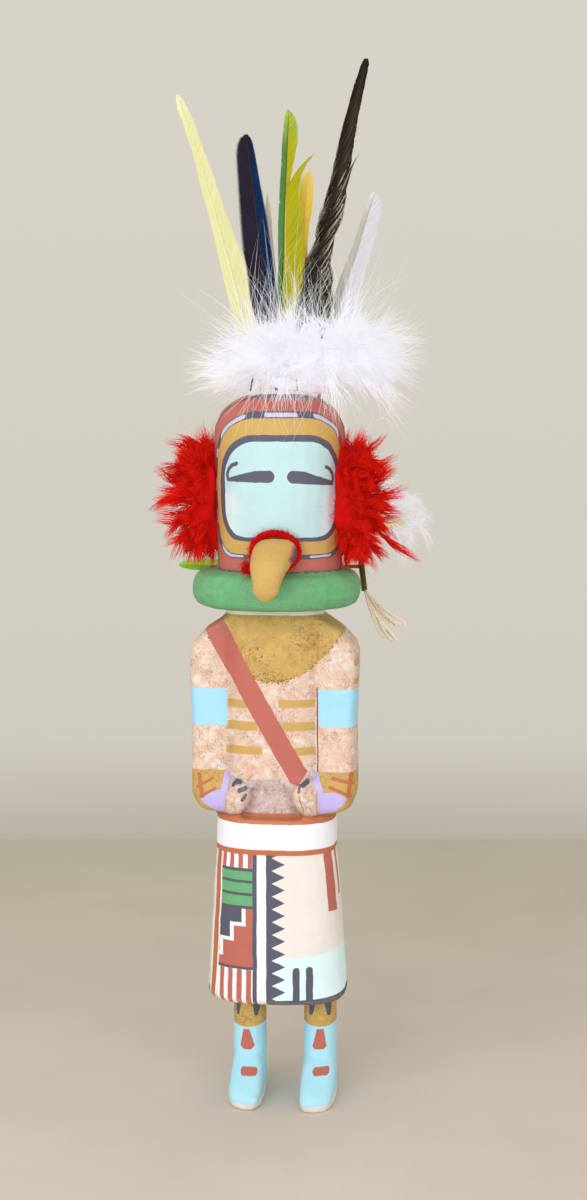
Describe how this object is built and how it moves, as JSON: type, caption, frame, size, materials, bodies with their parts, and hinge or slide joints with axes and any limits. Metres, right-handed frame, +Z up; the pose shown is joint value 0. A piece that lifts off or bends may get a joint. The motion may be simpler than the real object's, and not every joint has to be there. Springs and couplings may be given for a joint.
{
  "type": "kachina doll",
  "caption": "Standing carved and painted wooden doll with a masked head, ruff, hooked beak, wool ear tufts and an upright crest of down and feathers.",
  "frame": {"origin": "on the ground under the middle of the whole doll's box, feathers and down included", "axes": "+Z up along the figure, -Y the way the doll faces, +X the viewer's right (the doll's left)"},
  "size_m": [0.095, 0.0734, 0.3587],
  "materials": {
    "painted_wood": "carved cottonwood with matt mineral paint in bands",
    "ochre_wood": "carved wood with matt ochre paint",
    "red_yarn": "fuzzy wool yarn",
    "red_wool": "teased dyed wool in pointed locks",
    "white_down": "soft white down",
    "pale_yellow_feather": "feather vane with a pale shaft",
    "dark_blue_feather": "feather vane with a dark shaft",
    "grey_brown_feather": "feather vane",
    "green_feather": "feather vane, green to yellow-green",
    "yellow_feather": "feather vane",
    "black_feather": "feather vane with pale streaks",
    "grey_white_feather": "feather vane",
    "cotton_string": "loose plied cotton string"
  },
  "bodies": {
    "root": {"carved_figure": "painted_wood", "beak": "ochre_wood", "beak_yarn_ring": "red_yarn", "ear_wool_right": "red_wool", "ear_wool_left": "red_wool", "crest_down": "white_down", "back_down": "white_down", "feather_pale_yellow": "pale_yellow_feather", "feather_dark_blue": "dark_blue_feather", "feather_grey_brown": "grey_brown_feather", "feather_green": "green_feather", "feather_yellow": "yellow_feather", "feather_black_barred": "black_feather", "feather_grey_white": "grey_white_feather", "back_feather_green": "green_feather", "back_feather_yellow_right": "yellow_feather", "back_feather_yellow_left": "yellow_feather", "string_tassel": "cotton_string"}
  },
  "joints": []
}
